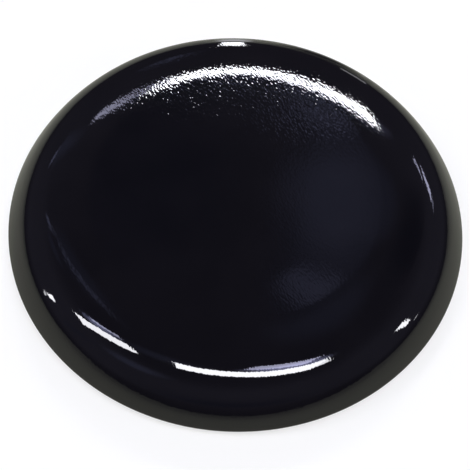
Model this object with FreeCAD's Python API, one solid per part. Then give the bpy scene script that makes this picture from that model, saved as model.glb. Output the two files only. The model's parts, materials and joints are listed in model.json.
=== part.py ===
import FreeCAD, Part
import math
import os
from FreeCAD import Vector

# Gas burner cap: one enamelled casting, turned about +Z.
# Origin: centre of the plane that the locating lip stands on. Millimetres and degrees.

# Outer form: a flat top that rolls over into a sloping flank and a rounded rim edge.
# A tilt is the angle that the surface has turned from level where one arc meets the next.
cap_d = 75.0
crown_radius = 45.0
crown_tilt = 9.0
shoulder_radius = 8.6
shoulder_tilt = 51.5
flank_radius = 23.0
flank_tilt = 61.0
edge_radius = 0.8
under_tilt = 180.0

# Underside: a level seat under the rim, a lip that drops into the burner head, a recess inside it.
crown_thickness = 3.0
lip_d = 56.0
lip_drop = 3.0
lip_wall = 2.8
lip_draft = 5.0
lip_chamfer = 0.5
root_chamfer = 0.8
recess_chamfer = 1.5

# The outer arcs from the flat top out and down to the seat, each as its radius and end tilts.
outer_arcs = (
    (crown_radius, 0.0, crown_tilt),
    (shoulder_radius, crown_tilt, shoulder_tilt),
    (flank_radius, shoulder_tilt, flank_tilt),
    (edge_radius, flank_tilt, under_tilt),
)


def drop(radius, start_tilt, end_tilt):
    """Height lost along an arc of the outer form."""
    return radius * (math.cos(math.radians(start_tilt)) - math.cos(math.radians(end_tilt)))


def reach(radius, start_tilt, end_tilt):
    """Run away from the axis along an arc of the outer form."""
    return radius * (math.sin(math.radians(end_tilt)) - math.sin(math.radians(start_tilt)))


def widest_tilt(end_tilt):
    """Tilt at which an arc stops running outwards."""
    return min(end_tilt, 90.0)


cap_r = cap_d / 2
lip_r = lip_d / 2
lip_inner_r = lip_r - lip_wall
seat_z = lip_drop
rim_height = sum(drop(*arc) for arc in outer_arcs)
top_z = seat_z + rim_height
ceiling_z = top_z - crown_thickness
flat_r = cap_r - sum(reach(radius, start, widest_tilt(end)) for radius, start, end in outer_arcs)


def point(radius, height):
    """A point of the half section, which lies in the XZ plane."""
    return Vector(radius, 0, height)


def tilted_arc(start, radius, start_tilt, end_tilt):
    """An outer arc from a point: the edge and the point where it ends."""
    middle_tilt = (start_tilt + end_tilt) / 2
    middle, end = (
        start + point(reach(radius, start_tilt, tilt), -drop(radius, start_tilt, tilt))
        for tilt in (middle_tilt, end_tilt)
    )
    return Part.Arc(start, middle, end).toShape(), end


def outer_edges():
    """Edges from the middle of the top to the seat, and the point where they end."""
    here = point(flat_r, top_z)
    edges = [Part.makeLine(point(0, top_z), here)]
    for radius, start_tilt, end_tilt in outer_arcs:
        edge, here = tilted_arc(here, radius, start_tilt, end_tilt)
        edges.append(edge)
    return edges, here


def recess_r(height):
    """Radius of the recess's drafted wall at a height above the lip's end."""
    return lip_inner_r - height * math.tan(math.radians(lip_draft))


def underside_corners():
    """Corners from the lip's root, round the lip and its recess, to the axis."""
    wall_top_z = ceiling_z - recess_chamfer
    return [
        point(lip_r + root_chamfer, seat_z),
        point(lip_r, seat_z - root_chamfer),
        point(lip_r, lip_chamfer),
        point(lip_r - lip_chamfer, 0),
        point(lip_inner_r + lip_chamfer, 0),
        point(recess_r(lip_chamfer), lip_chamfer),
        point(recess_r(wall_top_z), wall_top_z),
        point(recess_r(wall_top_z) - recess_chamfer, ceiling_z),
        point(0, ceiling_z),
    ]


def burner_cap():
    """The casting, turned from its half section."""
    edges, rim_end = outer_edges()
    corners = [rim_end] + underside_corners() + [point(0, top_z)]
    edges += [Part.makeLine(start, end) for start, end in zip(corners, corners[1:])]
    section = Part.Face(Part.Wire(edges))
    return section.revolve(Vector(0, 0, 0), Vector(0, 0, 1), 360)


os.makedirs("parts", exist_ok=True)
burner_cap().exportStep("parts/burner_cap.step")
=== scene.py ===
"""Gas burner cap: the enamelled casting on a pale floor, under two rows of ceiling lights.

Laid out as an add-on with one operator for the casting and one for the stage.
Metres and radians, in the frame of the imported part: +Z up, origin under the cap's middle.
"""

import cmath
import json
import math
from collections import namedtuple

import bmesh
import bpy
from bpy.props import FloatProperty, FloatVectorProperty, IntProperty, PointerProperty
from mathutils import Matrix, Vector


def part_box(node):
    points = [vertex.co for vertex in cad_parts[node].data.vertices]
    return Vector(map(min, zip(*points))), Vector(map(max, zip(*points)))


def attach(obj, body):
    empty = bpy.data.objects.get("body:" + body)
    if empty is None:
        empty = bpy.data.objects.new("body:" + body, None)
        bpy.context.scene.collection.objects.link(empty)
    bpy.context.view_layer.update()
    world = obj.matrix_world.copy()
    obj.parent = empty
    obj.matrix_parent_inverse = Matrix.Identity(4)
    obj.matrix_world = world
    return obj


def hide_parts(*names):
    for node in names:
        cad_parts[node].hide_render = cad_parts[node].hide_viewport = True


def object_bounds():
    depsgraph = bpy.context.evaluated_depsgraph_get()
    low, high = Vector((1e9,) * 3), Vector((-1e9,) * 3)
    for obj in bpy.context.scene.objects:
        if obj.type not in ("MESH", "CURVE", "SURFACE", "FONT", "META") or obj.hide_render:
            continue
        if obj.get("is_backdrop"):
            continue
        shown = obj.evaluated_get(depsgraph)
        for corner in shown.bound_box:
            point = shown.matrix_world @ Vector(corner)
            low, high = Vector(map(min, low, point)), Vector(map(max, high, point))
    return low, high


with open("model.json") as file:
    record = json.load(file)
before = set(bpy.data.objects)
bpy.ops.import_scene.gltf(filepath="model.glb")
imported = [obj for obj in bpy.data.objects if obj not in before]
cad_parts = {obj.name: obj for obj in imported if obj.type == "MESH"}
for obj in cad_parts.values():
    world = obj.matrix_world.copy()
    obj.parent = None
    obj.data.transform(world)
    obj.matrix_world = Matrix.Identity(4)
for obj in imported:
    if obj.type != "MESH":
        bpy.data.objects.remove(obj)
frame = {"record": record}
CAD_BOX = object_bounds()

bl_info = {
    "name": "Gas Burner Cap",
    "version": (1, 0, 0),
    "blender": (4, 5, 0),
    "location": "View3D > Sidebar > Burner Cap",
    "description": "Builds an enamelled gas burner cap and the stage that it is shown on",
    "category": "Object",
}

NODE = "burner_cap"
BODY = "root"

LOW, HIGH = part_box(NODE)
MOUNTS = {mount["name"]: mount for mount in frame["record"]["mounts"]}
MILLIMETRE = 0.001
WHITE = (1.0, 1.0, 1.0, 1.0)

# Mesh steps: the turn between points of a large and a small arc, the run between points of a line, the steps
# of a corner's rounding and those round the floor.
SLOW_TURN = math.radians(0.4)
QUICK_TURN = math.radians(4.0)
RUN = 0.0008
CORNER_STEPS = 4
FLOOR_SEGMENTS = 64

# How close two points are joined, and how far the casting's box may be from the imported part's box.
MERGE_DISTANCE = 1e-7
SIZE_TOLERANCE = 1e-5

# The camera's clipping, in camera distances and in floor radii.
CLIP_NEAR = 0.1
CLIP_FAR = 4.0

# The middle of a noise, and how many finer layers each noise has.
NOISE_MIDDLE = 0.5
CLOUD_LAYERS = 3.0
FLECK_LAYERS = 2.0
NO_LAYERS = 0.0

# Watts per square metre of a lamp that give it a radiance of 1.
LAMP_WATTS = math.pi

# Share of a haze's and of a floor patch's radius that is in full.
HAZE_CORE = 0.2
PATCH_CORE = 0.5

# How far a haze hangs over the lights, and over the haze before it, in ceiling heights.
HAZE_RISE = 0.010
HAZE_STEP = 0.002

# Where smooth ramps start and end: on the upward part of a normal or of a direction, its part towards +Y,
# and on noise.
UNDERSIDE = (0.25, -0.25)
LEVEL = (0.93, 0.98)
CLOUDS = (0.35, 0.70)
FLECKS = (0.62, 0.72)
ABOVE_HORIZON = (0.0, 0.25)
BELOW_CEILING = (0.92, 0.60)
BESIDE_AND_NEAR = (1.15, 0.25)


def length(name, description, default):
    """A size in metres."""
    return FloatProperty(
        name=name, description=description, default=default, min=0.0, precision=6, unit="LENGTH"
    )


def signed_length(name, description, default):
    """A place in metres along an axis."""
    return FloatProperty(name=name, description=description, default=default, precision=6, unit="LENGTH")


def angle(name, description, degrees):
    """An angle, given in degrees and kept in radians."""
    return FloatProperty(
        name=name, description=description, default=math.radians(degrees), subtype="ANGLE"
    )


def share(name, description, default):
    """A part of a whole, from 0 to 1."""
    return FloatProperty(
        name=name, description=description, default=default, min=0.0, max=1.0, subtype="FACTOR"
    )


def number(name, description, default):
    """A plain positive number."""
    return FloatProperty(name=name, description=description, default=default, min=0.0)


def colour(name, description, default):
    """A linear colour."""
    return FloatVectorProperty(
        name=name, description=description, default=default, min=0.0, max=1.0, precision=4, subtype="COLOR"
    )


class CapSizes(bpy.types.PropertyGroup):
    """Sizes of the casting's half section. A tilt is how far the surface has turned from level."""

    radius: length("Radius", "From the axis to the rim's widest line", HIGH.x)
    top: length("Top", "Height of the flat top over the plane that the lip stands on", HIGH.z)
    crown_radius: length("Crown radius", "Arc that leaves the flat top", 0.045)
    crown_tilt: angle("Crown tilt", "Tilt where the crown meets the shoulder", 9.0)
    shoulder_radius: length("Shoulder radius", "Arc that rolls over into the flank", 0.0086)
    shoulder_tilt: angle("Shoulder tilt", "Tilt where the shoulder meets the flank", 51.5)
    flank_radius: length("Flank radius", "Arc of the sloping rim", 0.023)
    flank_tilt: angle("Flank tilt", "Tilt where the flank meets the edge", 61.0)
    edge_radius: length("Edge radius", "Rounding from the flank under to the seat", 0.0008)
    under_tilt: angle("Under tilt", "Tilt where the edge meets the seat", 180.0)
    crown_thickness: length("Crown thickness", "From the flat top down to the recess", 0.003)
    lip_radius: length(
        "Lip radius", "Outside of the lip", MOUNTS["locating_lip"]["dims"]["r_mm"] * MILLIMETRE
    )
    lip_wall: length("Lip wall", "Thickness of the lip at its end", 0.0028)
    lip_draft: angle("Lip draft", "Lean of the recess's wall", 5.0)
    lip_chamfer: length("Lip chamfer", "Bevels at the lip's end", 0.0005)
    root_chamfer: length("Root chamfer", "Bevel between the seat and the lip", 0.0008)
    recess_chamfer: length("Recess chamfer", "Bevel between the recess's wall and its ceiling", 0.0015)
    glaze_rounding: length("Glaze rounding", "Radius that the enamel leaves on each bevel", 0.0002)
    segments: IntProperty(
        name="Segments", description="Steps of the mesh round the axis", default=256, min=16, max=512
    )


class EnamelFinish(bpy.types.PropertyGroup):
    """The fired enamel: gloss black outside, a duller ground coat below."""

    gloss_colour: colour("Gloss colour", "Black of the cover coat", (0.0033, 0.0031, 0.0047))
    cloud_colour: colour("Cloud colour", "Paler black that clouds the cover coat", (0.0041, 0.0038, 0.0056))
    ground_colour: colour("Ground colour", "Grey black of the coat below", (0.016, 0.016, 0.018))
    fleck_colour: colour("Fleck colour", "Paler flecks in the coat below", (0.045, 0.045, 0.048))
    refraction: number("Refraction", "Refractive index of the fired glass", 1.65)
    gloss_roughness: share("Gloss roughness", "Mean roughness of the cover coat", 0.036)
    roughness_spread: share("Roughness spread", "How far clouds change the cover coat's roughness", 0.8)
    ground_roughness: share("Ground roughness", "Roughness of the coat below", 0.42)
    cloud_pitch: length("Cloud pitch", "Distance between clouds in the gloss", 0.009)
    fleck_pitch: length("Fleck pitch", "Distance between flecks in the coat below", 0.00030)
    peel_pitch: length("Peel pitch", "Distance between the grains of the orange peel", 0.00026)
    peel_height: length("Peel height", "Height of the orange peel where it is rough", 0.000014)
    peel_turn: angle("Peel turn", "Direction from +X in which the grains are drawn out", -60.0)
    peel_stretch: number("Peel stretch", "How much longer than wide a grain is", 2.2)
    calm_share: share("Calm share", "Share of the relief that the calm side and the rim keep", 0.22)
    calm_end: signed_length("Calm end", "Place along Y where the calm side ends", 0.003)
    rough_start: signed_length("Rough start", "Place along Y where the orange peel is in full", 0.017)
    rough_width: length("Rough width", "Distance from the middle, along X, that the peel is full to", 0.012)
    calm_width: length("Calm width", "Distance from the middle, along X, where the peel is calm", 0.026)
    wave_pitch: length("Wave pitch", "Distance between the glaze's slow waves", 0.006)
    wave_height: length("Wave height", "Height of the slow waves", 0.00002)
    pimple_pitch: length("Pimple pitch", "Distance between the pimples", 0.00030)
    pimple_radius: length("Pimple radius", "Half the width of a fired-in pimple", 0.000115)
    pimple_height: length("Pimple height", "Height of the highest pimples", 0.0000052)


class StageSizes(bpy.types.PropertyGroup):
    """Floor, room, lights and camera."""

    floor_radius: length("Floor radius", "Radius of the round floor", 3.5)
    floor_colour: colour("Floor colour", "Pale floor", (0.36, 0.36, 0.36))
    mirrored_colour: colour("Mirrored colour", "Floor by the cap as gloss shows it", (0.345, 0.350, 0.272))
    # Painted shade: the floor that gloss shows turns darker away from the cap.
    far_mirrored_colour: colour("Far mirrored colour", "Far floor as gloss shows it", (0.120, 0.122, 0.097))
    floor_lift: share("Floor lift", "What the white background adds beside the cap", 0.66)
    mirrored_lift: share("Mirrored lift", "Share of the white background that gloss shows", 0.08)
    fade_start: length("Fade start", "Where the floor begins to turn plain white", 0.04)
    fade_end: length("Fade end", "Where the floor is plain white", 0.22)
    patch_height: length("Patch height", "Height of the patches over the floor", 0.0001)
    ceiling_colour: colour("Ceiling colour", "Dim ceiling that the gloss mirrors", (0.034, 0.031, 0.042))
    wall_colour: colour("Wall colour", "Dim walls that the gloss mirrors", (0.088, 0.084, 0.118))
    light_colour: colour("Light colour", "Cool white of the lights", (0.95, 0.95, 1.0))
    glow_colour: colour("Glow colour", "Bluer white of the dim lights", (0.72, 0.72, 1.0))
    haze_colour: colour("Haze colour", "Blue of the faint patches on the ceiling", (0.57, 0.60, 1.0))
    light_radiance: number("Light radiance", "Brightness of a full light", 15.8)
    ceiling_height: length("Ceiling height", "Height of the ceiling lights", 1.5)
    wall_distance: length("Wall distance", "Distance of the wall lights", 2.0)
    camera_elevation: angle("Camera elevation", "Angle of the camera above the horizon", 57.63)
    camera_distance: length("Camera distance", "From the cap's middle to the camera", 0.1525)
    middle_height: length("Middle height", "Height of the middle that the camera is measured from", 0.007025)
    camera_dip: angle("Camera dip", "How far the camera looks below the middle", 1.977)
    camera_turn: angle("Camera turn", "How far the camera looks to the right of the middle", -0.049)
    camera_roll: angle("Camera roll", "Turn of the camera about its line of sight", 2.611)
    camera_lens: FloatProperty(
        name="Camera lens", description="Focal length in millimetres", default=71.42, min=1.0, unit="CAMERA"
    )


# A ceiling light's middle, length and width are given in ceiling heights, and its turn from +X in degrees.
# A wall light's place and size are given in degrees: its azimuth from +Y, its elevation, width and height.
# The strength of these is a share of a full light's radiance. A haze is an ellipse on the ceiling with a
# soft border, placed like a ceiling light. Its strength is its own radiance, so one that is dimmer than the
# ceiling is a shade. A floor patch is an ellipse on the floor behind the cap, in metres, that the gloss of
# the far rim shows: a painted shade where it is dark and a painted reflection where it is bright.
CeilingLight = namedtuple("CeilingLight", "name x y length width turn strength")
WallLight = namedtuple("WallLight", "name azimuth elevation width height strength")
Haze = namedtuple("Haze", CeilingLight._fields)
FloorPatch = namedtuple("FloorPatch", CeilingLight._fields)

CEILING_LIGHTS = (
    CeilingLight("near_row_middle", 0.112, -0.273, 0.668, 0.172, -8.6, 1.1),
    CeilingLight("near_row_middle_end", 0.432, -0.277, 0.083, 0.177, 36.0, 0.8),
    CeilingLight("near_row_left", -0.750, -0.222, 0.635, 0.142, 3.4, 0.95),
    CeilingLight("near_row_far_left", -2.83, -0.30, 1.15, 0.12, 3.0, 1.0),
    CeilingLight("near_row_end_left", -4.70, -0.39, 1.50, 0.12, 5.7, 0.4),
    CeilingLight("near_row_far_right", 2.34, -0.45, 1.12, 0.16, -8.1, 1.0),
    CeilingLight("near_row_end_right", 4.65, -0.60, 0.60, 0.20, -8.1, 0.25),
    CeilingLight("far_row_middle", 0.110, 0.998, 0.57, 0.122, 4.0, 1.6),
)
CEILING_GLOWS = (
    CeilingLight("near_glow_middle", 0.195, -0.084, 0.27, 0.108, -19.0, 0.42),
    CeilingLight("near_glow_left", -0.540, -0.050, 0.22, 0.040, -3.0, 0.32),
    CeilingLight("far_glow_left", -0.325, 0.985, 0.24, 0.062, -9.0, 0.25),
    CeilingLight("far_glow_right", 0.690, 0.940, 0.13, 0.055, -30.0, 0.32),
    CeilingLight("far_glow_far_right", 1.05, 1.03, 0.34, 0.140, -3.0, 0.36),
    CeilingLight("far_glow_end_right", 1.32, 1.00, 0.14, 0.070, 80.0, 0.12),
)
WALL_LIGHTS = (
    WallLight("back_wall_middle", -1.9, 8.6, 3.6, 16.8, 0.7),
    WallLight("back_wall_right", 20.2, 4.2, 5.5, 5.5, 0.06),
)
HAZES = (
    Haze("haze_low_right", 0.103, 0.503, 0.115, 0.076, 0.0, 0.33),
    Haze("haze_right", 0.135, 0.645, 0.20, 0.29, 0.0, 0.24),
    Haze("haze_beside_right", 0.225, 0.650, 0.34, 0.27, 0.0, 0.135),
    Haze("haze_wide_right", 0.130, 0.520, 0.22, 0.36, 0.0, 0.085),
    Haze("haze_far_left", -0.340, 1.640, 0.33, 0.42, 0.0, 0.36),
    Haze("haze_streak_far", -0.920, 1.045, 0.50, 0.090, -14.0, 0.90),
    Haze("haze_left", -0.660, 0.940, 0.50, 0.22, -12.0, 0.21),
    Haze("haze_low_left", -2.400, -0.900, 3.00, 0.30, 7.0, 0.12),
    Haze("haze_streak_left", -0.410, 0.350, 0.52, 0.034, -50.0, 0.42),
    Haze("haze_streak_end", -0.680, 0.560, 0.38, 0.058, -22.0, 0.65),
    Haze("haze_beside_streak", -0.660, 0.430, 0.42, 0.185, -25.0, 0.14),
    Haze("haze_far_right", 0.123, 0.803, 0.165, 0.094, -26.0, 0.74),
    Haze("haze_far_row", 0.110, 0.980, 0.82, 0.26, 4.0, 2.0),
    Haze("haze_near_right", 0.185, 0.345, 0.34, 0.40, 0.0, 0.125),
    Haze("haze_near_left", -0.800, -0.800, 0.95, 0.54, 0.0, 0.31),
    Haze("shade_right", 0.485, 0.545, 0.62, 0.36, 65.0, 0.020),
    Haze("shade_near", 0.200, -4.500, 7.00, 6.00, 0.0, 0.075),
    Haze("haze_near_gap", -0.250, -0.115, 0.50, 0.30, 0.0, 0.16),
    Haze("haze_round_streak", -0.410, 0.380, 0.50, 0.16, -50.0, 0.11),
    Haze("shade_left", -0.130, 0.670, 0.36, 0.46, 0.0, 0.037),
    Haze("haze_near_row", 0.240, -0.150, 0.50, 0.20, -13.0, 4.0),
    Haze("haze_near_row_left", -0.620, -0.085, 0.44, 0.17, -2.0, 2.4),
)
FLOOR_PATCHES = (
    # Painted shade in the two dark patches, and a painted reflection of a light in the bright gleam.
    FloorPatch("near_shade", 0.027, 0.078, 0.088, 0.034, 74.0, 0.04),
    FloorPatch("far_shade", 0.085, 0.320, 0.600, 0.090, 75.3, 0.04),
    FloorPatch("gleam", -0.004, 0.105, 0.130, 0.016, 91.8, 1.5),
)


class Value:
    """A shader socket in a Python expression: each operator adds a Math node to the socket's tree."""

    def __init__(self, tree, socket):
        self.tree = tree
        self.socket = socket

    @staticmethod
    def node(tree, kind, settings=None, inputs=None):
        """Adds a node: its settings are set first, then each socket gets its value or link."""
        made = tree.nodes.new(kind)
        for name, setting in (settings or {}).items():
            setattr(made, name, setting)
        for key, given in (inputs or {}).items():
            socket = made.inputs[key] if isinstance(key, int) else Value.used(made.inputs, key)
            if isinstance(given, Value):
                tree.links.new(given.socket, socket)
            else:
                socket.default_value = given
        return Value(tree, next((socket for socket in made.outputs if socket.enabled), None))

    @staticmethod
    def used(sockets, name):
        """The socket of that name that the node's settings leave in use."""
        return next(socket for socket in sockets if socket.name == name and socket.enabled)

    def output(self, name):
        """Another output of the same node."""
        return Value(self.tree, self.used(self.socket.node.outputs, name))

    def maths(self, operation, first, second):
        """A Math node on two terms, of which at least one is a socket."""
        return self.node(self.tree, "ShaderNodeMath", {"operation": operation}, {0: first, 1: second})

    def __add__(self, other):
        return self.maths("ADD", self, other)

    def __radd__(self, other):
        return self.maths("ADD", other, self)

    def __sub__(self, other):
        return self.maths("SUBTRACT", self, other)

    def __rsub__(self, other):
        return self.maths("SUBTRACT", other, self)

    def __mul__(self, other):
        return self.maths("MULTIPLY", self, other)

    def __rmul__(self, other):
        return self.maths("MULTIPLY", other, self)

    def ramp(self, start, end):
        """0 before start and 1 after end, with a smooth rise between them."""
        inputs = {"Value": self, "From Min": start, "From Max": end}
        return self.node(self.tree, "ShaderNodeMapRange", {"interpolation_type": "SMOOTHSTEP"}, inputs)

    def mix(self, first, second):
        """A colour between two, by this value."""
        inputs = {"Factor": self, "A": first, "B": second}
        return self.node(self.tree, "ShaderNodeMix", {"data_type": "RGBA"}, inputs)


def rgba(linear):
    """A colour property as a node's socket takes it."""
    return (*linear, 1.0)


def new_tree(owner):
    """The emptied node tree of a material or a world."""
    owner.use_nodes = True
    owner.node_tree.nodes.clear()
    return owner.node_tree


def noise(place, pitch, layers):
    """Smooth noise about its middle, whose grains lie a pitch apart."""
    inputs = {"Vector": place, "Scale": 1 / pitch, "Detail": layers}
    return Value.node(place.tree, "ShaderNodeTexNoise", {}, inputs)


def object_place(tree):
    """Where a point lies on its object."""
    return Value.node(tree, "ShaderNodeTexCoord").output("Object")


def middle_distance(tree):
    """How far a point lies from its object's middle."""
    return Value.node(tree, "ShaderNodeVectorMath", {"operation": "LENGTH"}, {0: object_place(tree)})


def seen_straight(rays):
    """1 for the rays that come from the camera or through glass, and 0 for the others."""
    return rays.output("Is Camera Ray") + rays.output("Is Transmission Ray")


def finish_material(material, shader):
    """Gives a material its shader."""
    Value.node(material.node_tree, "ShaderNodeOutputMaterial", {}, {"Surface": shader})
    return material


def drawn_out(place, finish):
    """The place in a pattern that is stretched one way, as the glass ran when it was fired."""
    turn = (0.0, 0.0, finish.peel_turn)
    stretch = (finish.peel_stretch, 1.0, 1.0)
    inputs = {"Vector": place, "Rotation": turn, "Scale": stretch}
    return Value.node(place.tree, "ShaderNodeMapping", {"vector_type": "TEXTURE"}, inputs)


def pimples(place, finish):
    """Height of the pimples that grit leaves in the fired glass: most are low and a few are high."""
    inputs = {"Vector": place, "Scale": 1 / finish.pimple_pitch}
    cells = Value.node(place.tree, "ShaderNodeTexVoronoi", {}, inputs)
    chance = Value.node(place.tree, "ShaderNodeSeparateColor", {}, {"Color": cells.output("Color")})
    dome = cells.output("Distance").ramp(finish.pimple_radius / finish.pimple_pitch, 0.0)
    return dome * chance * chance * finish.pimple_height


def kept_relief(place, level, finish):
    """Share of the fine relief: full on the level part of the rough side, and less elsewhere."""
    parts = Value.node(place.tree, "ShaderNodeSeparateXYZ", {}, {"Vector": place})
    across = parts.output("X")
    middle = (across * across).ramp(finish.calm_width**2, finish.rough_width**2)
    rough = parts.output("Y").ramp(finish.calm_end, finish.rough_start) * middle * level
    return finish.calm_share + (1 - finish.calm_share) * rough


def enamel_material(finish):
    """Gloss black glass over the outside, with orange peel, and a dull ground coat underneath."""
    material = bpy.data.materials.new("gloss_black_enamel")
    tree = new_tree(material)
    place = object_place(tree)
    normal = Value.node(tree, "ShaderNodeNewGeometry").output("Normal")
    upward = Value.node(tree, "ShaderNodeSeparateXYZ", {}, {"Vector": normal}).output("Z")
    under = upward.ramp(*UNDERSIDE)
    level = upward.ramp(*LEVEL)

    clouds = noise(place, finish.cloud_pitch, CLOUD_LAYERS)
    gloss = clouds.ramp(*CLOUDS).mix(rgba(finish.gloss_colour), rgba(finish.cloud_colour))
    flecks = noise(place, finish.fleck_pitch, FLECK_LAYERS).ramp(*FLECKS)
    ground = flecks.mix(rgba(finish.ground_colour), rgba(finish.fleck_colour))
    clouded = 1 + finish.roughness_spread * (clouds - NOISE_MIDDLE)
    gloss_roughness = finish.gloss_roughness * clouded
    roughness = gloss_roughness + under * (finish.ground_roughness - gloss_roughness)

    waves = noise(place, finish.wave_pitch, NO_LAYERS) * finish.wave_height
    grain = drawn_out(place, finish)
    peel = noise(grain, finish.peel_pitch, NO_LAYERS) * finish.peel_height
    relief = (peel + pimples(grain, finish)) * kept_relief(place, level, finish)
    height = waves + relief
    bump = Value.node(tree, "ShaderNodeBump", {}, {"Strength": 1.0, "Distance": 1.0, "Height": height})
    shader = Value.node(
        tree,
        "ShaderNodeBsdfPrincipled",
        {},
        {
            "Base Color": under.mix(gloss, ground),
            "Roughness": roughness,
            "IOR": finish.refraction,
            "Normal": bump,
        },
    )
    return finish_material(material, shader)


# A point of the half section is a complex number: its radius, and its height as the imaginary part.


def outward(tilt):
    """Unit normal of the outer form at a tilt."""
    return cmath.rect(1.0, math.pi / 2 - tilt)


def arc(start, radius, start_tilt, end_tilt, step):
    """Points along an outer arc, after its start."""
    centre = start - radius * outward(start_tilt)
    steps = math.ceil((end_tilt - start_tilt) / step)
    turn = (end_tilt - start_tilt) / steps
    return [centre + radius * outward(start_tilt + turn * count) for count in range(1, steps + 1)]


def line(start, end):
    """Points along a straight stretch, after its start."""
    steps = math.ceil(abs(end - start) / RUN)
    return [start + (end - start) * count / steps for count in range(1, steps + 1)]


def rounding(before, corner, after, radius):
    """Points of the rounding at a corner."""
    back, ahead = ((other - corner) / abs(other - corner) for other in (before, after))
    half = abs(cmath.phase(ahead / back)) / 2
    centre = corner + (back + ahead) / abs(back + ahead) * radius / math.sin(half)
    start, end = (corner + way * radius / math.tan(half) - centre for way in (back, ahead))
    turn = cmath.phase(end / start) / CORNER_STEPS
    return [centre + start * cmath.rect(1.0, turn * count) for count in range(CORNER_STEPS + 1)]


def outer_points(sizes):
    """Points from the middle of the top, over the rim, to the seat."""
    arcs = (
        (sizes.crown_radius, 0.0, sizes.crown_tilt, SLOW_TURN),
        (sizes.shoulder_radius, sizes.crown_tilt, sizes.shoulder_tilt, SLOW_TURN),
        (sizes.flank_radius, sizes.shoulder_tilt, sizes.flank_tilt, SLOW_TURN),
        (sizes.edge_radius, sizes.flank_tilt, sizes.under_tilt, QUICK_TURN),
    )
    reach = sum(
        radius * (math.sin(min(end, math.pi / 2)) - math.sin(start)) for radius, start, end, _ in arcs
    )
    middle = complex(0.0, sizes.top)
    points = [middle] + line(middle, complex(sizes.radius - reach, sizes.top))
    for curve in arcs:
        points += arc(points[-1], *curve)
    return points


def underside_corners(sizes, seat):
    """Corners from the lip's root, round the lip and its recess, to the axis."""
    ceiling = sizes.top - sizes.crown_thickness
    wall_top = ceiling - sizes.recess_chamfer
    lean = math.tan(sizes.lip_draft)
    inner = sizes.lip_radius - sizes.lip_wall
    return [
        complex(sizes.lip_radius + sizes.root_chamfer, seat),
        complex(sizes.lip_radius, seat - sizes.root_chamfer),
        complex(sizes.lip_radius, sizes.lip_chamfer),
        complex(sizes.lip_radius - sizes.lip_chamfer, 0.0),
        complex(inner + sizes.lip_chamfer, 0.0),
        complex(inner - lean * sizes.lip_chamfer, sizes.lip_chamfer),
        complex(inner - lean * wall_top, wall_top),
        complex(inner - lean * wall_top - sizes.recess_chamfer, ceiling),
        complex(0.0, ceiling),
    ]


def section_points(sizes):
    """The half section from the middle of the top round to the middle of the recess."""
    points = outer_points(sizes)
    corners = [points[-1]] + underside_corners(sizes, points[-1].imag)
    for before, corner, after in zip(corners, corners[1:], corners[2:]):
        bend = rounding(before, corner, after, sizes.glaze_rounding)
        points += line(points[-1], bend[0]) + bend[1:]
    return points + line(points[-1], corners[-1])


def mesh_from(name, shape, material):
    """A mesh of a shape, which is freed, in one material."""
    mesh = bpy.data.meshes.new(name)
    shape.to_mesh(mesh)
    shape.free()
    mesh.materials.append(material)
    return mesh


def turned_shape(points, segments):
    """A closed shape, turned about the axis from a half section."""
    turned = bmesh.new()
    verts = [turned.verts.new((point.real, 0.0, point.imag)) for point in points]
    edges = [turned.edges.new(pair) for pair in zip(verts, verts[1:])]
    bmesh.ops.spin(
        turned,
        geom=verts + edges,
        cent=(0.0, 0.0, 0.0),
        axis=(0.0, 0.0, 1.0),
        angle=2 * math.pi,
        steps=segments,
        use_merge=True,
    )
    bmesh.ops.remove_doubles(turned, verts=turned.verts, dist=MERGE_DISTANCE)
    bmesh.ops.recalc_face_normals(turned, faces=turned.faces)
    for face in turned.faces:
        face.smooth = True
    return turned


def place_object(name, data):
    """A new object of the scene."""
    placed = bpy.data.objects.new(name, data)
    bpy.context.scene.collection.objects.link(placed)
    return placed


class BURNER_CAP_OT_casting(bpy.types.Operator):
    """Turn the enamelled casting from its half section"""

    bl_idname = "burner_cap.casting"
    bl_label = "Casting"

    def execute(self, context):
        settings = context.scene.burner_cap
        sizes = settings.cap
        shape = turned_shape(section_points(sizes), sizes.segments)
        mesh = mesh_from("enamelled_casting", shape, enamel_material(settings.enamel))
        casting = place_object("enamelled_casting", mesh)
        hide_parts(NODE)
        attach(casting, BODY)
        excess = max((here - there).length for here, there in zip(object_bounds(), CAD_BOX))
        if excess > SIZE_TOLERANCE:
            raise RuntimeError(f"the casting's box is {excess:.6f} m away from the packed part's box")
        return {"FINISHED"}


def floor_material(stage):
    """A pale floor that turns plain white away from the cap, and that gloss shows darker, with painted shade
    that darkens it further out.
    """
    material = bpy.data.materials.new("pale_floor")
    tree = new_tree(material)
    fade = middle_distance(tree).ramp(stage.fade_start, stage.fade_end)
    rays = Value.node(tree, "ShaderNodeLightPath")
    seen = seen_straight(rays)
    # Painted shade: in gloss the floor darkens from the mirrored colour towards the far colour away from the
    # cap.
    mirrored = fade.mix(rgba(stage.mirrored_colour), rgba(stage.far_mirrored_colour))
    lift = stage.floor_lift + (1 - stage.floor_lift) * fade
    shader = Value.node(
        tree,
        "ShaderNodeBsdfPrincipled",
        {},
        {
            "Base Color": seen.mix(mirrored, rgba(stage.floor_colour)),
            "Roughness": 1.0,
            "Specular IOR Level": 0.0,
            "Emission Color": lift * (seen + stage.mirrored_lift * rays.output("Is Glossy Ray")),
            "Emission Strength": 1.0,
        },
    )
    return finish_material(material, shader)


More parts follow.
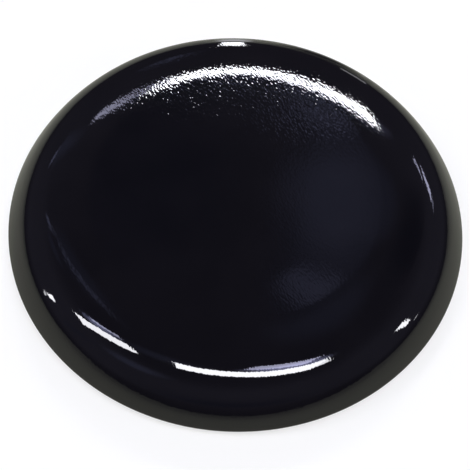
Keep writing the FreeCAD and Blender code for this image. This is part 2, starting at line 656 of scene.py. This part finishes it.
def make_floor(stage):
    """The round floor that the cap's lip stands on."""
    disc = bmesh.new()
    bmesh.ops.create_circle(disc, cap_ends=True, radius=stage.floor_radius, segments=FLOOR_SEGMENTS)
    floor = place_object("floor", mesh_from("floor", disc, floor_material(stage)))
    floor.location.z = LOW.z
    floor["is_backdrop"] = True


def make_room(stage):
    """A world that is white behind the cap, and a dim room in its gloss."""
    world = bpy.data.worlds.new("room")
    tree = new_tree(world)
    direction = Value.node(tree, "ShaderNodeTexCoord").output("Generated")
    parts = Value.node(tree, "ShaderNodeSeparateXYZ", {}, {"Vector": direction})
    upward = parts.output("Z")
    height = upward.ramp(*ABOVE_HORIZON) * upward.ramp(*BELOW_CEILING)
    wall = height * parts.output("Y").ramp(*BESIDE_AND_NEAR)
    room = wall.mix(rgba(stage.ceiling_colour), rgba(stage.wall_colour))
    seen = seen_straight(Value.node(tree, "ShaderNodeLightPath"))
    background = Value.node(
        tree, "ShaderNodeBackground", {}, {"Color": seen.mix(room, WHITE), "Strength": 1.0}
    )
    Value.node(tree, "ShaderNodeOutputWorld", {}, {"Surface": background})
    bpy.context.scene.world = world


def make_lamp(name, tint, radiance, width, height):
    """A soft rectangular lamp, not seen by the camera."""
    lamp = bpy.data.lights.new(name, "AREA")
    lamp.shape = "RECTANGLE"
    lamp.size = width
    lamp.size_y = height
    lamp.color = tint
    lamp.energy = LAMP_WATTS * width * height * radiance
    placed = place_object(name, lamp)
    placed.visible_camera = False
    return placed


def ceiling_place(stage, hung):
    """Where a ceiling light or haze hangs, and its turn."""
    place = Vector((hung.x, hung.y, 1.0)) * stage.ceiling_height
    return Matrix.Translation(place) @ Matrix.Rotation(math.radians(hung.turn), 4, "Z")


def make_ceiling_light(light, tint, stage):
    """A light on the ceiling, facing down."""
    lamp = make_lamp(
        light.name,
        tint,
        light.strength * stage.light_radiance,
        light.length * stage.ceiling_height,
        light.width * stage.ceiling_height,
    )
    lamp.matrix_world = ceiling_place(stage, light)


def make_wall_light(light, stage):
    """A light on the wall behind, facing the cap."""
    lamp = make_lamp(
        light.name,
        stage.light_colour,
        light.strength * stage.light_radiance,
        math.radians(light.width) * stage.wall_distance,
        math.radians(light.height) * stage.wall_distance,
    )
    azimuth, elevation = math.radians(light.azimuth), math.radians(light.elevation)
    level = math.cos(elevation)
    away = Vector((math.sin(azimuth) * level, math.cos(azimuth) * level, math.sin(elevation)))
    lamp.location = away * stage.wall_distance
    lamp.rotation_euler = away.to_track_quat("Z", "Y").to_euler()


def card_material(name, tint, strength, full):
    """A tone that is full up to a share of its card's radius, and fades out towards the border."""
    material = bpy.data.materials.new(name)
    tree = new_tree(material)
    inside = middle_distance(tree).ramp(1.0, full)
    glow = Value.node(tree, "ShaderNodeEmission", {}, {"Color": rgba(tint), "Strength": strength})
    clear = Value.node(tree, "ShaderNodeBsdfTransparent")
    shader = Value.node(tree, "ShaderNodeMixShader", {}, {0: inside, 1: clear, 2: glow})
    return finish_material(material, shader)


def make_card(name, place, x_size, y_size, material):
    """A level card that shows in gloss alone."""
    card = bmesh.new()
    bmesh.ops.create_grid(card, x_segments=1, y_segments=1, size=1.0)
    placed = place_object(name, mesh_from(name, card, material))
    placed.matrix_world = place @ Matrix.Diagonal((x_size / 2, y_size / 2, 1.0, 1.0))
    placed.visible_camera = False
    placed.visible_diffuse = False
    placed.visible_transmission = False
    placed.visible_shadow = False
    placed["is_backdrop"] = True


def make_haze(haze, order, stage):
    """A glow or a shade on the ceiling, above the lights and the earlier hazes so that it hides none."""
    rise = 1 + HAZE_RISE + HAZE_STEP * order
    make_card(
        haze.name,
        Matrix.Scale(rise, 4) @ ceiling_place(stage, haze),
        haze.length * stage.ceiling_height,
        haze.width * stage.ceiling_height,
        card_material(haze.name, stage.haze_colour, haze.strength, HAZE_CORE),
    )


def make_floor_patch(patch, stage):
    """A painted shade or a painted reflection on the floor behind the cap."""
    place = Matrix.Translation((patch.x, patch.y, LOW.z + stage.patch_height))
    make_card(
        patch.name,
        place @ Matrix.Rotation(math.radians(patch.turn), 4, "Z"),
        patch.length,
        patch.width,
        card_material(patch.name, stage.light_colour, patch.strength, PATCH_CORE),
    )


def make_camera(stage):
    """The camera at the photograph's place and angle."""
    scene = bpy.context.scene
    data = bpy.data.cameras.new("camera")
    data.lens = stage.camera_lens
    data.clip_start = CLIP_NEAR * stage.camera_distance
    data.clip_end = CLIP_FAR * stage.floor_radius
    camera = place_object("camera", data)
    back = Vector((0.0, -math.cos(stage.camera_elevation), math.sin(stage.camera_elevation)))
    place = Vector((0.0, 0.0, stage.middle_height)) + back * stage.camera_distance
    depression = stage.camera_elevation + stage.camera_dip
    camera.matrix_world = (
        Matrix.Translation(place)
        @ Matrix.Rotation(-stage.camera_turn, 4, "Z")
        @ Matrix.Rotation(math.pi / 2 - depression, 4, "X")
        @ Matrix.Rotation(stage.camera_roll, 4, "Z")
    )
    scene.camera = camera
    scene.view_settings.view_transform = "Standard"


class BURNER_CAP_OT_stage(bpy.types.Operator):
    """Lay the floor, hang the lights and set up the camera"""

    bl_idname = "burner_cap.stage"
    bl_label = "Stage"

    def execute(self, context):
        stage = context.scene.burner_cap.stage
        make_floor(stage)
        make_room(stage)
        for light in CEILING_LIGHTS:
            make_ceiling_light(light, stage.light_colour, stage)
        for light in CEILING_GLOWS:
            make_ceiling_light(light, stage.glow_colour, stage)
        for light in WALL_LIGHTS:
            make_wall_light(light, stage)
        for order, haze in enumerate(HAZES):
            make_haze(haze, order, stage)
        for patch in FLOOR_PATCHES:
            make_floor_patch(patch, stage)
        make_camera(stage)
        return {"FINISHED"}


class BurnerCapSettings(bpy.types.PropertyGroup):
    """All that a user would change."""

    cap: PointerProperty(type=CapSizes, name="Casting", description="Sizes of the casting")
    enamel: PointerProperty(type=EnamelFinish, name="Enamel", description="Look of the enamel")
    stage: PointerProperty(type=StageSizes, name="Stage", description="Floor, lights and camera")


class BURNER_CAP_PT_panel(bpy.types.Panel):
    """The operators, each over the sizes that it uses"""

    bl_idname = "BURNER_CAP_PT_panel"
    bl_label = "Gas Burner Cap"
    bl_space_type = "VIEW_3D"
    bl_region_type = "UI"
    bl_category = "Burner Cap"

    def draw(self, context):
        settings = context.scene.burner_cap
        sections = (
            (BURNER_CAP_OT_casting, (settings.cap, settings.enamel)),
            (BURNER_CAP_OT_stage, (settings.stage,)),
        )
        for operator, groups in sections:
            column = self.layout.column()
            column.operator(operator.bl_idname)
            for group in groups:
                for name in group.__annotations__:
                    column.prop(group, name)


CLASSES = (
    CapSizes,
    EnamelFinish,
    StageSizes,
    BurnerCapSettings,
    BURNER_CAP_OT_casting,
    BURNER_CAP_OT_stage,
    BURNER_CAP_PT_panel,
)


def register():
    """Makes the classes and the scene's settings known."""
    for made in CLASSES:
        bpy.utils.register_class(made)
    bpy.types.Scene.burner_cap = PointerProperty(type=BurnerCapSettings)


def unregister():
    """Takes the settings and the classes away again."""
    del bpy.types.Scene.burner_cap
    for made in reversed(CLASSES):
        bpy.utils.unregister_class(made)


def main():
    """Builds the cap and its stage, and keeps both boxes."""
    register()
    bpy.ops.burner_cap.casting()
    bpy.ops.burner_cap.stage()


if __name__ == "__main__":
    main()
